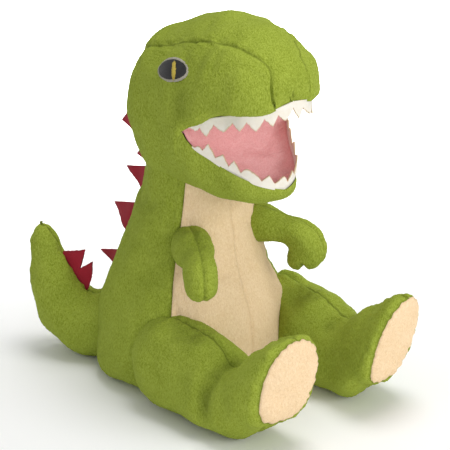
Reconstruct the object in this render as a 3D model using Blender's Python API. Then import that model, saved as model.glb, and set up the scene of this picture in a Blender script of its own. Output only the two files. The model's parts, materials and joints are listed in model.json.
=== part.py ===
"""A sitting plush dinosaur: sewn cloth panels over stuffing, felt spikes and teeth, embroidered eyes.

It faces -Y, its own right side is at -X, and its seat rests on z = 0. Every soft form is a
tube of rings. A ring is a rounded outline with a centre, a half width, a rise above the
centre and a fall below it. The cloth panels are strips of that tube given the cloth's
thickness inwards, and the stuffing is the same tube, smaller by the cloth and a clearance.
The limbs and the head meet the torso at round roots that turn inside matching hollows.
"""

import math

import bmesh
import bpy
import numpy as np
from mathutils import Matrix, Vector

# ---------------------------------------------------------------- driving sizes, in metres
CLOTH = 0.0016  # short-pile plush with its backing
FELT = 0.0014  # spikes and teeth
SEAM = 0.0003  # gap left between two pieces that are sewn together
FILL_GAP = 0.0010  # between the cloth and the stuffing

TORSO_HEIGHT = 0.170  # seat to neck seam
TORSO_WIDTH = 0.156  # widest, just above the seat
TORSO_DEPTH = 0.150
NECK_WIDTH = 0.088
NECK_DEPTH = 0.084
BELLY_STEPS = 3  # columns of the torso each side of the middle that the belly panels take

HEAD_LENGTH = 0.161  # back of the head to the snout's tip
HEAD_WIDTH = 0.116
HEAD_TOP = 0.314  # height of the crown over the floor
HEAD_BACK = 0.037  # how far the head reaches behind the neck's middle
SNOUT_LIP = 0.259  # height of the upper lip at the front
MOUTH_CORNER = 0.060  # how far in front of the neck's middle the mouth begins
JAW_LENGTH = 0.051
JAW_WIDTH = 0.088
CHIN = 0.178  # height of the underside of the jaw
TOOTH = 0.010
EYE_LENGTH = 0.034
EYE_HEIGHT = 0.0205

ARM_RADIUS = 0.0150
ARM_REACH = 0.037  # forwards
ARM_SPREAD = 0.024  # outwards
ARM_DROP = {"right": 0.026, "left": 0.033}  # from the shoulder down to the fingertips
SHOULDER_HEIGHT = 0.134

LEG_WIDTH = 0.068
LEG_HEIGHT = 0.076
LEG_LENGTH = 0.128  # hip to sole
HIP_SPREAD = 0.061  # hip centre from the middle
SOLE_WIDTH = 0.054
SOLE_HEIGHT = 0.084
TOE_OUT = math.radians(7)
SOLE_LEAN = math.radians(15)

TAIL_LENGTH = 0.150
TAIL_RADIUS = 0.034
SPIKE = 0.044  # how far a back spike stands out of its seam

LEG_LIFTS = math.radians(30)
LEG_DROPS = 0.05  # radians of give below the rest, for the cloth of the seat
ARM_SWINGS = math.radians(25)
TAIL_SWINGS = math.radians(20)

COLOURS = {
    "green": (0.235, 0.345, 0.045),
    "cream": (0.730, 0.540, 0.335),
    "red": (0.250, 0.010, 0.022),
    "white": (0.800, 0.780, 0.700),
    "pink": (0.810, 0.400, 0.400),
    "black": (0.012, 0.012, 0.012),
    "grey": (0.450, 0.430, 0.370),
    "yellow": (0.680, 0.500, 0.070),
    "fill": (0.850, 0.850, 0.830),
}


# ---------------------------------------------------------------- shared helpers
def clear_scene():
    for old in list(bpy.data.objects):
        bpy.data.objects.remove(old)


def colour(name):
    """One Principled material for each colour of cloth, felt or thread."""
    found = bpy.data.materials.get(name)
    if found:
        return found
    made = bpy.data.materials.new(name)
    made.use_nodes = True
    shader = made.node_tree.nodes["Principled BSDF"]
    shader.inputs["Base Color"].default_value = (*COLOURS[name], 1)
    shader.inputs["Roughness"].default_value = 0.55 if name == "black" else 0.95
    shader.inputs["Metallic"].default_value = 0
    return made


def add_object(name, mesh, paint):
    thing = bpy.data.objects.new(name, mesh)
    bpy.context.scene.collection.objects.link(thing)
    if paint:
        mesh.materials.append(colour(paint))
    return thing


def mesh_of(points, closed_round, caps):
    """A mesh from rows of points, bridged row to row. caps closes the two ends."""
    build = bmesh.new()
    rows = [[build.verts.new(point) for point in row] for row in points]
    steps = len(rows[0]) if closed_round else len(rows[0]) - 1
    for before, after in zip(rows, rows[1:]):
        for i in range(steps):
            j = (i + 1) % len(before)
            build.faces.new((before[i], before[j], after[j], after[i]))
    if caps:
        for row in (rows[0], rows[-1]):
            middle = build.verts.new(sum((v.co for v in row), Vector()) / len(row))
            for i in range(len(row)):
                build.faces.new((row[i], row[(i + 1) % len(row)], middle))
    bmesh.ops.recalc_face_normals(build, faces=build.faces)
    mesh = bpy.data.meshes.new("rows")
    build.to_mesh(mesh)
    build.free()
    return mesh


def face_outwards(mesh, away_from):
    """Turns an open sheet so that its faces look away from the form's middle line."""
    build = bmesh.new()
    build.from_mesh(mesh)
    build.normal_update()
    score = sum((f.calc_center_median() - away_from).dot(f.normal) * f.calc_area() for f in build.faces)
    if score < 0:
        bmesh.ops.reverse_faces(build, faces=build.faces)
    build.to_mesh(mesh)
    build.free()


def smooth(mesh):
    mesh.shade_smooth()
    mesh.set_sharp_from_angle(angle=math.radians(40))


def cut(thing, cutter):
    """Takes the cutter's shape out of a piece."""
    step = thing.modifiers.new("cut", "BOOLEAN")
    step.operation = "DIFFERENCE"
    step.object = cutter


def helper(name, mesh):
    """A cutter: it shapes other pieces and is no piece itself."""
    thing = add_object(name, mesh, None)
    thing.hide_render = True
    thing.display_type = "WIRE"
    return thing


def ball(name, centre, radius):
    build = bmesh.new()
    bmesh.ops.create_uvsphere(build, u_segments=32, v_segments=20, radius=radius)
    bmesh.ops.translate(build, verts=build.verts, vec=centre)
    mesh = bpy.data.meshes.new(name)
    build.to_mesh(mesh)
    build.free()
    return helper(name, mesh)


# ---------------------------------------------------------------- forms made of rings
class Form:
    """A tube of rings. Each station is (along 0-1, centre, half width, rise, fall, yaw, lean).

    Between stations every value follows a smooth curve. yaw turns a ring about Z and lean
    tips its top forwards. power sets how square the outline is, 2 for an ellipse, and
    low_power does for its lower half.
    """

    def __init__(self, stations, across, up, power=2.0, low_power=None, start_round=0.0, end_round=0.0):
        self.along = np.array([s[0] for s in stations], float)
        self.values = np.array([[*s[1], *s[2:]] for s in stations], float)
        self.across, self.up = Vector(across).normalized(), Vector(up).normalized()
        self.power, self.low_power = power, low_power or power
        self.start_round, self.end_round = start_round, end_round
        self.slopes = self.even_slopes()

    def even_slopes(self):
        """Slopes that never overshoot: zero where a value turns, else a harmonic mean."""
        pitch = np.diff(self.values, axis=0) / np.diff(self.along)[:, None]
        slopes = np.vstack([pitch[:1], np.zeros_like(pitch[1:]), pitch[-1:]])
        before, after = pitch[:-1], pitch[1:]
        same = before * after > 0
        slopes[1:-1][same] = (2 * before * after)[same] / (before + after)[same]
        return slopes

    def at(self, u):
        """The ring's values at u, on a cubic through the stations."""
        u = min(max(u, self.along[0]), self.along[-1])
        i = min(max(int(np.searchsorted(self.along, u, "right")) - 1, 0), len(self.along) - 2)
        width = self.along[i + 1] - self.along[i]
        t = (u - self.along[i]) / width
        a, b = self.values[i], self.values[i + 1]
        da, db = self.slopes[i] * width, self.slopes[i + 1] * width
        return (
            (2 * t**3 - 3 * t**2 + 1) * a
            + (t**3 - 2 * t**2 + t) * da
            + (-2 * t**3 + 3 * t**2) * b
            + (t**3 - t**2) * db
        )

    def shrink(self, u):
        """How far a rounded end has closed at u, from 0 at its tip to 1."""
        factor = 1.0
        if self.start_round and u < self.start_round:
            factor *= math.sqrt(max(1 - (1 - u / self.start_round) ** 2, 0.0))
        if self.end_round and u > 1 - self.end_round:
            factor *= math.sqrt(max(1 - (1 - (1 - u) / self.end_round) ** 2, 0.0))
        return factor

    def surface(self, u, angle):
        """A point of the form. angle is 0 at the ring's top and a quarter turn at +across."""
        x, y, z, half, rise, fall, yaw, lean = self.at(u)
        factor = self.shrink(u)
        sine, cosine = math.sin(angle), math.cos(angle)
        bend = 2 / (self.power if cosine > 0 else self.low_power)
        reach = rise if cosine > 0 else fall
        side = math.copysign(abs(sine) ** bend, sine) * half * factor
        height = math.copysign(abs(cosine) ** bend, cosine) * reach * factor
        spin = Matrix.Rotation(yaw, 3, "Z")
        across = spin @ self.across
        onward = spin @ self.across.cross(self.up)
        up = self.up * math.cos(lean) + onward * math.sin(lean)
        return Vector((x, y, z)) + across * side + up * height

    def point(self, u, angle, inset=0.0):
        """The surface's point, moved square to the surface: inwards, or outwards if inset is negative."""
        here = self.surface(u, angle)
        if not inset:
            return here
        reach = self.surface(min(u + 0.004, 1), angle) - self.surface(max(u - 0.004, 0), angle)
        turn = self.surface(u, angle + 0.06) - self.surface(u, angle - 0.06)
        normal = reach.cross(turn).normalized()
        middle = Vector(self.at(u)[:3])
        if normal.dot(here - middle) < 0:
            normal = -normal
        return here - normal * inset

    def rows(self, ups, angles, inset=0.0):
        return [[self.point(u, a, inset) for a in angles] for u in ups]

    def solid(self, ups, count, inset=0.0):
        angles = [2 * math.pi * i / count for i in range(count)]
        return mesh_of(self.rows(ups, angles, inset), True, True)


def panel(name, form, ups, count, first, last, paint, gone=None, trim=0.5):
    """The strip of cloth between two columns of a form, with a share of a seam's gap at each edge.

    gone(up, column) is true where the strip is cut away.
    """
    angles = [2 * math.pi * i / count for i in range(first, last + 1)]
    build = bmesh.new()
    walls = []
    for depth in (0.0, CLOTH):
        rows = form.rows(ups, angles, depth)
        for row in rows:
            for edge, inner in ((0, 1), (-1, -2)):
                step = row[inner] - row[edge]
                row[edge] = row[edge] + step * min(SEAM * trim / max(step.length, 1e-6), 0.4)
        walls.append([[build.verts.new(point) for point in row] for row in rows])
    kept = set()
    for k in range(len(ups) - 1):
        for i in range(last - first):
            if gone is None or not gone((ups[k] + ups[k + 1]) / 2, first + i + 0.5):
                kept.add((k, i))
    outer, inner = walls
    for k, i in kept:
        corners = ((k, i), (k, i + 1), (k + 1, i + 1), (k + 1, i))
        build.faces.new([outer[a][b] for a, b in corners])
        build.faces.new([inner[a][b] for a, b in reversed(corners)])
        beside = ((k - 1, i), (k, i + 1), (k + 1, i), (k, i - 1))
        for j, other in enumerate(beside):
            if other not in kept:
                (a, b), (c, d) = corners[j], corners[(j + 1) % 4]
                build.faces.new((outer[c][d], outer[a][b], inner[a][b], inner[c][d]))
    bmesh.ops.delete(build, geom=[v for v in build.verts if not v.link_faces], context="VERTS")
    bmesh.ops.recalc_face_normals(build, faces=build.faces)
    mesh = bpy.data.meshes.new(name)
    build.to_mesh(mesh)
    build.free()
    smooth(mesh)
    return add_object(name, mesh, paint)


def filling(name, form, ups, count):
    mesh = form.solid(ups, count, CLOTH + FILL_GAP)
    smooth(mesh)
    return add_object(name, mesh, "fill")


def steps(start, end, count):
    return [start + (end - start) * i / count for i in range(count + 1)]


def dome(tip, depth):
    """Ring places across a rounded end, from its tip inwards. depth is signed."""
    return [tip + depth * (1 - math.cos(math.radians(angle))) for angle in (17, 32, 50, 70)]


# ---------------------------------------------------------------- torso
TORSO_COUNT = 22
NECK_TOP = 0.92  # share of the torso's height where its cloth stops and the bare neck ball begins
NECK_BALL = NECK_WIDTH / 2 - 0.004
NECK_CENTRE = Vector((0, -0.010, TORSO_HEIGHT - 0.020))
SOCKET_ROOM = 0.0012  # between a turning root and its hollow


def torso_form():
    """Rings lie flat, so a ring's top is the front of the belly."""
    wide, deep = TORSO_WIDTH / 2, TORSO_DEPTH / 2
    neck_wide, neck_deep = NECK_WIDTH / 2, NECK_DEPTH / 2
    stations = []
    for share, swell, shift in (
        (0.00, 0.82, 0.004),
        (0.07, 0.97, 0.002),
        (0.20, 1.00, 0.000),
        (0.40, 0.86, -0.001),
        (0.60, 0.52, -0.003),
        (0.78, 0.22, -0.006),
        (1.00, 0.00, -0.010),
    ):
        half = wide * swell if share < 0.2 else neck_wide + (wide - neck_wide) * swell
        reach = deep * swell if share < 0.2 else neck_deep + (deep - neck_deep) * swell
        stations.append((share, (0, shift, TORSO_HEIGHT * share), half, reach, reach, 0, 0))
    return Form(stations, (1, 0, 0), (0, -1, 0), power=2.1)


def neck_rows(angles):
    """The stuffing's top: a ball that the head turns on."""
    rows = []
    for share in (0.35, 0.62, 0.84, 0.96):
        height = NECK_BALL * share
        round_radius = math.sqrt(NECK_BALL**2 - height**2)
        ring = [Vector((math.sin(a) * round_radius, -math.cos(a) * round_radius, height)) for a in angles]
        rows.append([NECK_CENTRE + spot for spot in ring])
    return rows


def swept_hull(name, form, ups, pivot, axis, low, high):
    """One cutter round everywhere that a root passes as its limb swings."""
    build = bmesh.new()
    angles = [2 * math.pi * i / 12 for i in range(12)]
    for turn in steps(low, high, 2):
        spin = Matrix.Rotation(turn, 3, axis)
        for row in form.rows(ups, angles, -SOCKET_ROOM):
            for point in row:
                build.verts.new(spin @ (point - pivot) + pivot)
    bmesh.ops.convex_hull(build, input=build.verts)
    bmesh.ops.delete(build, geom=[v for v in build.verts if not v.link_faces], context="VERTS")
    bmesh.ops.recalc_face_normals(build, faces=build.faces)
    mesh = bpy.data.meshes.new(name)
    build.to_mesh(mesh)
    build.free()
    return helper(name, mesh)


def make_torso(cutters):
    form = torso_form()
    ups = [0, 0.035, 0.08, 0.15, 0.25, 0.38, 0.51, 0.65, 0.79, NECK_TOP]
    half = TORSO_COUNT // 2
    pieces = [
        panel("belly_right", form, ups, TORSO_COUNT, -BELLY_STEPS, 0, "cream"),
        panel("belly_left", form, ups, TORSO_COUNT, 0, BELLY_STEPS, "cream"),
        panel("body_side_right", form, ups, TORSO_COUNT, -half, -BELLY_STEPS, "green"),
        panel("body_side_left", form, ups, TORSO_COUNT, BELLY_STEPS, half, "green"),
    ]
    angles = [2 * math.pi * i / TORSO_COUNT for i in range(TORSO_COUNT)]
    inset = CLOTH + FILL_GAP
    rows = form.rows([inset / TORSO_HEIGHT] + ups[1:], angles, inset) + neck_rows(angles)
    fill = add_object("body_stuffing", mesh_of(rows, True, True), "fill")
    smooth(fill.data)
    pieces.append(fill)
    for piece in pieces:
        for cutter in cutters:
            cut(piece, cutter)
    outline = form.rows([0], angles, CLOTH + SEAM)[0]
    lower = [Vector((p.x, p.y, 0)) for p in outline]
    upper = [Vector((p.x, p.y, CLOTH)) for p in outline]
    add_object("seat_panel", mesh_of([lower, upper], True, True), "green")
    return form


# ---------------------------------------------------------------- head
HEAD_COUNT = 24
GUSSET_STEPS = 3  # columns each side of the crown that the top panel takes
LIP_STEP = 9  # column of the upper lip
CHEEK_END = (MOUTH_CORNER - 0.012 + HEAD_BACK) / HEAD_LENGTH
SNOUT_START = (MOUTH_CORNER - 0.005 + HEAD_BACK) / HEAD_LENGTH


def head_place(share):
    return HEAD_BACK - HEAD_LENGTH * share


def head_form():
    """Rings stand upright, back of the head first. Behind the mouth they reach down to the neck."""
    half = HEAD_WIDTH / 2
    neck = TORSO_HEIGHT + 0.004
    middle = neck + 0.48 * (HEAD_TOP - neck)
    front_rise = SNOUT_LIP - neck

    def station(share, width, centre, top, bottom):
        return (share, (0, head_place(share), centre), half * width, top - centre, centre - bottom, 0, 0)

    lip = neck + front_rise * 0.74
    return Form(
        [
            station(0.00, 0.92, middle - 0.014, HEAD_TOP - 0.027, neck - 0.004),
            station(0.22, 0.99, middle - 0.005, HEAD_TOP - 0.012, neck - 0.002),
            station(CHEEK_END, 0.98, middle, HEAD_TOP, neck),
            station(SNOUT_START, 0.95, middle + 0.008, HEAD_TOP, lip),
            station(0.78, 0.86, middle + 0.022, HEAD_TOP - 0.001, lip + 0.007),
            station(1.00, 0.75, SNOUT_LIP + 0.019, HEAD_TOP - 0.009, SNOUT_LIP),
        ],
        (1, 0, 0),
        (0, 0, 1),
        power=2.3,
        low_power=3.2,
        start_round=0.22,
        end_round=0.15,
    )


def make_head(socket):
    form = head_form()
    ups = dome(0, 0.22) + [0.24, 0.33, 0.43, CHEEK_END, SNOUT_START, 0.68, 0.76, 0.83] + dome(1, -0.15)[::-1]
    half = HEAD_COUNT // 2
    wall = (CHEEK_END + SNOUT_START) / 2

    def roof(up, column):
        return up > CHEEK_END + 0.001 and abs(column) > LIP_STEP

    pieces = [
        panel("head_top_gusset", form, ups, HEAD_COUNT, -GUSSET_STEPS, GUSSET_STEPS, "green"),
        panel("head_side_right", form, ups, HEAD_COUNT, -half, -GUSSET_STEPS, "green", gone=roof),
        panel("head_side_left", form, ups, HEAD_COUNT, GUSSET_STEPS, half, "green", gone=roof),
        filling("head_stuffing", form, ups, HEAD_COUNT),
    ]
    snout = [up for up in ups if up > wall]
    panel("mouth_roof", form, snout, HEAD_COUNT, LIP_STEP, HEAD_COUNT - LIP_STEP, "pink", trim=1.5)
    for piece in pieces[1:]:
        cut(piece, socket)
    return form


# ---------------------------------------------------------------- jaw
JAW_LIP_STEP = 5
JAW_ROOT = 0.0065  # gap in front of the head's wall, so that the jaw can drop a little


def jaw_form():
    lip_back = TORSO_HEIGHT + 0.004 + (SNOUT_LIP - TORSO_HEIGHT - 0.004) * 0.68
    start = -MOUTH_CORNER - JAW_ROOT + 0.008

    def station(share, width, top, bottom):
        centre = top - 0.42 * (top - bottom)
        place = (0, start - JAW_LENGTH * share, centre)
        return (share, place, JAW_WIDTH / 2 * width, top - centre, centre - bottom, 0, 0)

    return Form(
        [
            station(0.00, 1.14, lip_back + 0.001, CHIN + 0.001),
            station(0.40, 1.00, lip_back - 0.013, CHIN - 0.002),
            station(0.75, 0.88, lip_back - 0.026, CHIN - 0.001),
            station(1.00, 0.76, lip_back - 0.033, CHIN + 0.002),
        ],
        (1, 0, 0),
        (0, 0, 1),
        power=2.6,
        end_round=0.34,
    )


def make_jaw():
    form = jaw_form()
    ups = [0, 0.15, 0.30, 0.45, 0.60] + dome(1, -0.34)[::-1]
    panel("chin_panel", form, ups, HEAD_COUNT, JAW_LIP_STEP, HEAD_COUNT - JAW_LIP_STEP, "green")
    panel("mouth_floor", form, ups, HEAD_COUNT, -JAW_LIP_STEP, JAW_LIP_STEP, "pink")
    filling("jaw_stuffing", form, ups, HEAD_COUNT)
    return form


# ---------------------------------------------------------------- felt and thread
LIP_ROOM = 0.0017  # the teeth's felt stands this far off the lip
DROP = 0.0006  # and starts this far past its edge


def teeth_strip(name, form, first, last, column, down, count):
    """A felt ribbon round a lip, its free edge cut into teeth."""
    angle = 2 * math.pi * column / HEAD_COUNT
    ups = steps(first, last, count)
    sides = [(up, -angle) for up in ups] + [(up, angle) for up in reversed(ups)]
    rows = []
    for i, (up, turn) in enumerate(sides):
        base = form.point(up, turn, -LIP_ROOM) + Vector((0, 0, -DROP if down else DROP))
        depth = TOOTH * min(1.0, 0.35 + 2.2 * (up - first) / (last - first)) * (1.0 if i % 2 else 0.35)
        rows.append([base, base + Vector((0, 0, -depth if down else depth))])
    thing = add_object(name, mesh_of(rows, False, False), "white")
    wall = thing.modifiers.new("felt", "SOLIDIFY")
    wall.thickness = FELT
    wall.offset = 0
    return thing


def eye_layers(form, side):
    """Satin stitching in three layers: a pale border, the dark field and a slit pupil."""
    centre_y, centre_z = -0.041, HEAD_TOP - 0.0325
    tilt = math.radians(-7)

    def reach(y, z):
        x_, y_, middle, half, rise, fall, yaw_, lean_ = form.at((HEAD_BACK - y) / HEAD_LENGTH)
        height = (z - middle) / (rise if z > middle else fall)
        return half * (1 - abs(height) ** form.power) ** (1 / form.power)

    def layer(name, length, height, lift, thick, paint):
        rows = []
        for ring in (0.5, 1.0):
            row = []
            for a in steps(0, 2 * math.pi, 14)[:-1]:
                along, over = math.cos(a) * length / 2 * ring, math.sin(a) * height / 2 * ring
                y = centre_y + along * math.cos(tilt) - over * math.sin(tilt)
                z = centre_z + along * math.sin(tilt) + over * math.cos(tilt)
                row.append(Vector((side * (reach(y, z) + lift), y, z)))
            rows.append(row)
        build = bmesh.new()
        verts = [[build.verts.new(p) for p in row] for row in rows]
        for before, after in zip(verts, verts[1:]):
            for i in range(len(before)):
                j = (i + 1) % len(before)
                build.faces.new((before[i], before[j], after[j], after[i]))
        build.faces.new(verts[0][::-1])
        mesh = bpy.data.meshes.new(name)
        build.to_mesh(mesh)
        build.free()
        face_outwards(mesh, Vector((0, centre_y, centre_z)))
        wall = add_object(name, mesh, paint).modifiers.new("thread", "SOLIDIFY")
        wall.thickness = thick
        wall.offset = 1
    word = "right" if side < 0 else "left"
    layer(f"eye_border_{word}", EYE_LENGTH, EYE_HEIGHT, 0.0004, 0.0006, "grey")
    layer(f"eye_field_{word}", EYE_LENGTH - 0.003, EYE_HEIGHT - 0.003, 0.0013, 0.0005, "black")
    layer(f"eye_slit_{word}", 0.0035, EYE_HEIGHT - 0.006, 0.0021, 0.0005, "yellow")


def spike_strip(name, base, spikes):
    """Felt in the middle plane: a narrow band along the seam with triangles standing out of it.

    base(t, lift) is a point of the seam's curve, lifted off it. Each spike is (start, end, tip).
    """
    inner, outer = [], []
    for start, end, tip in spikes:
        inner += [base(t, 0.0006) for t in steps(start, end, 5)]
        outer += [base(start, 0.0024), tip, base(end, 0.0024)]
    side = Vector(base(spikes[-1][1], 0) - base(spikes[0][0], 0))
    side = side.cross(spikes[0][2] - base(spikes[0][0], 0)).normalized() * (FELT / 2)
    ring = inner + outer[::-1]
    build = bmesh.new()
    near = [build.verts.new(p - side) for p in ring]
    far = [build.verts.new(p + side) for p in ring]
    build.faces.new(near)
    build.faces.new(far[::-1])
    for i in range(len(ring)):
        j = (i + 1) % len(ring)
        build.faces.new((near[i], far[i], far[j], near[j]))
    bmesh.ops.triangulate(build, faces=build.faces)
    bmesh.ops.recalc_face_normals(build, faces=build.faces)
    mesh = bpy.data.meshes.new(name)
    build.to_mesh(mesh)
    build.free()
    add_object(name, mesh, "red")


def make_spikes(torso, head, tail):
    """Spikes at places that are shares of a form; each is (start, end, how far out, where its tip is)."""

    def up_the_back(height, lift):
        return torso.point(height, math.pi, -lift)

    def down_the_head(share, lift):
        return head.point(share, math.pi, -lift)

    def along_the_tail(share, lift):
        return tail.point(share, 0, -lift)

    def strip(name, base, away, places):
        spikes = []
        for start, end, out, toward in places:
            foot = base(start + (end - start) * toward, 0)
            spikes.append((start, end, foot + Vector(away).normalized() * SPIKE * out))
        spike_strip(name, base, spikes)

    strip(
        "back_spikes", up_the_back, (0, 1, 0.12),
        [(0.24, 0.46, 1.1, 0.7), (0.50, 0.70, 1.1, 0.8), (0.74, 0.915, 1.05, 0.9)],
    )
    strip("head_spikes", down_the_head, (0, 1, 0.0), [(0.006, 0.042, 1.0, 0.7), (0.050, 0.085, 0.65, 0.3)])
    strip(
        "tail_spikes", along_the_tail, (math.sin(TAIL_YAW) * 0.5, -math.cos(TAIL_YAW) * 0.5, 0.9),
        [(0.34, 0.50, 0.62, 0.5), (0.52, 0.74, 0.62, 0.6)],
    )


# ---------------------------------------------------------------- limbs
LIMB_COUNT = 12


def hip_centre(side):
    return Vector((side * HIP_SPREAD, -0.052, LEG_HEIGHT / 2 + 0.0022))


def shoulder_centre(side):
    return Vector((side * (NECK_WIDTH / 2 - 0.006), -0.046, SHOULDER_HEIGHT))


def leg_form(side):
    hip = hip_centre(side)
    wide, tall = LEG_WIDTH / 2, LEG_HEIGHT / 2
    sole_wide, sole_tall = SOLE_WIDTH / 2, SOLE_HEIGHT / 2
    length = LEG_LENGTH + tall

    def station(onward, height, width, rise, fall, yaw, lean):
        place = (hip.x, hip.y - onward, height)
        return ((onward + tall) / length, place, width, rise, fall, side * yaw, lean)

    low = hip.z
    return Form(
        [
            station(-tall, low, wide, tall, tall, 0, 0),
            station(0.0, low, wide, tall, tall, 0, 0),
            station(LEG_LENGTH * 0.28, low - 0.001, wide * 0.98, tall * 0.96, tall * 0.97, 0, 0.04),
            station(LEG_LENGTH * 0.52, low - 0.004, wide * 0.84, tall * 0.84, low - 0.007, TOE_OUT / 2, 0.1),
            station(LEG_LENGTH * 0.74, low + 0.008, wide * 0.90, tall * 1.02, low + 0.004, TOE_OUT, 0.18),
            station(LEG_LENGTH, low + 0.026, sole_wide, sole_tall, sole_tall, TOE_OUT, SOLE_LEAN),
        ],
        (1, 0, 0),
        (0, 0, 1),
        start_round=tall / length,
    )


def arm_form(side, word):
    shoulder = shoulder_centre(side)
    r = ARM_RADIUS
    turn = side * math.radians(30)
    away = Vector((math.sin(turn), -math.cos(turn), 0))

    def station(share, out, onward, down, width, deep, lean):
        place = shoulder + Vector((side * ARM_SPREAD * out, -ARM_REACH * onward, -ARM_DROP[word] * down))
        return (share, tuple(place), width, deep, deep, turn, lean)

    behind = 0.17
    root = shoulder - away * r
    return Form(
        [
            (0.0, tuple(root), r, r, r, turn, 0.0),
            station(behind, 0.0, 0.0, 0.0, r, r, 0.05),
            station(0.48, 0.55, 0.62, 0.02, r * 0.95, r * 0.93, 0.35),
            station(0.70, 0.90, 0.96, 0.36, r * 0.88, r * 0.95, 1.00),
            station(1.00, 1.00, 1.04, 1.10, r * 0.74, r * 1.05, 1.45),
        ],
        (1, 0, 0),
        (0, 0, 1),
        start_round=behind,
        end_round=0.14,
    )


TAIL_YAW = math.radians(30)


def tail_centre():
    return Vector((-math.sin(TAIL_YAW), math.cos(TAIL_YAW), 0)) * 0.066 + Vector((0, 0, 0.030))


def tail_form():
    back = Vector((-math.sin(TAIL_YAW), math.cos(TAIL_YAW), 0))
    size = TAIL_LENGTH / 0.150
    start = tail_centre()

    def station(share, out, height, width, lean):
        place = start + back * out * size + Vector((0, 0, height * size))
        radius = TAIL_RADIUS * width
        return (share, tuple(place), radius, radius, radius, TAIL_YAW, lean)

    behind = 0.20
    return Form(
        [
            station(0.00, -TAIL_RADIUS * 0.84 / size, 0, 0.84, 0.0),
            station(behind, 0.000, 0, 0.84, 0.0),
            station(0.36, 0.022, -0.001, 0.82, 0.25),
            station(0.56, 0.042, 0.010, 0.75, 0.80),
            station(0.74, 0.053, 0.035, 0.59, 1.35),
            station(0.88, 0.060, 0.059, 0.44, 1.45),
            station(1.00, 0.065, 0.081, 0.34, 1.50),
        ],
        (1, 0, 0),
        (0, 0, 1),
        start_round=behind,
        end_round=0.08,
    )


def make_limb(name, form, ups, word="", short=0.0):
    """Two cloth panels and the stuffing between them, which may stop short of the limb's end."""
    half = LIMB_COUNT // 2
    first, second = ("right", "left") if not word else ("outer", "inner")
    ending = f"_{word}" if word else ""
    near, far = (-half, 0), (0, half)
    if word == "left":
        near, far = far, near
    panel(f"{name}_{first}{ending}", form, ups, LIMB_COUNT, *near, "green")
    panel(f"{name}_{second}{ending}", form, ups, LIMB_COUNT, *far, "green")
    filling(f"{name}_stuffing{ending}", form, ups[:-1] + [ups[-1] - short], LIMB_COUNT)


def make_sole(form, word):
    """The flat cream panel that closes the foot, set inside the end of the leg's cloth."""
    angles = [2 * math.pi * i / LIMB_COUNT for i in range(LIMB_COUNT)]
    rows = form.rows([1 - CLOTH / (LEG_LENGTH + LEG_HEIGHT / 2), 1.0], angles, CLOTH + 2 * SEAM)
    add_object(f"sole_{word}", mesh_of(rows, True, True), "cream")


def main():
    clear_scene()
    tail = tail_form()
    legs = {word: leg_form(side) for side, word in ((-1, "right"), (1, "left"))}
    arms = {word: arm_form(side, word) for side, word in ((-1, "right"), (1, "left"))}
    across, upright, swing = Vector((1, 0, 0)), Vector((0, 0, 1)), ARM_SWINGS
    tail_root, limb_root = steps(0.01, 0.45, 8), steps(0.01, 0.5, 8)
    cutters = [swept_hull("tail_room", tail, tail_root, tail_centre(), upright, -TAIL_SWINGS, TAIL_SWINGS)]
    for side, word in ((-1, "right"), (1, "left")):
        hip, shoulder = hip_centre(side), shoulder_centre(side)
        cutters += [
            swept_hull(f"hip_room_{word}", legs[word], limb_root, hip, across, -LEG_LIFTS, LEG_DROPS),
            swept_hull(f"shoulder_room_{word}", arms[word], limb_root, shoulder, across, -swing, swing),
        ]
    torso = make_torso(cutters)
    head = make_head(ball("neck_socket", NECK_CENTRE, NECK_BALL + SOCKET_ROOM))
    jaw = make_jaw()
    teeth_strip("upper_teeth", head, 0.60, 0.995, LIP_STEP, True, 16)
    teeth_strip("lower_teeth", jaw, 0.06, 0.995, JAW_LIP_STEP, False, 14)
    for side, word in ((-1, "right"), (1, "left")):
        eye_layers(head, side)
        root = legs[word].start_round
        make_limb("leg", legs[word], dome(0, root) + steps(root, 1, 6), word, short=0.03)
        make_sole(legs[word], word)
        make_limb("arm", arms[word], dome(0, 0.17) + steps(0.17, 0.84, 6) + dome(1, -0.14)[::-1], word)
    make_limb("tail", tail, dome(0, 0.20) + steps(0.20, 0.90, 8) + dome(1, -0.08)[::-1])
    make_spikes(torso, head, tail)


main()
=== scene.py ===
# %% [markdown]
# # A sitting plush dinosaur
# The frame holds the toy's plain solids, their bodies and their joints. This lesson dresses it:
# every panel of plush is worked out again as a fine surface, blown up by a cloth simulation,
# sewn along its seams and given its finish. The solids themselves are never moved.

import json
import math

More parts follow.
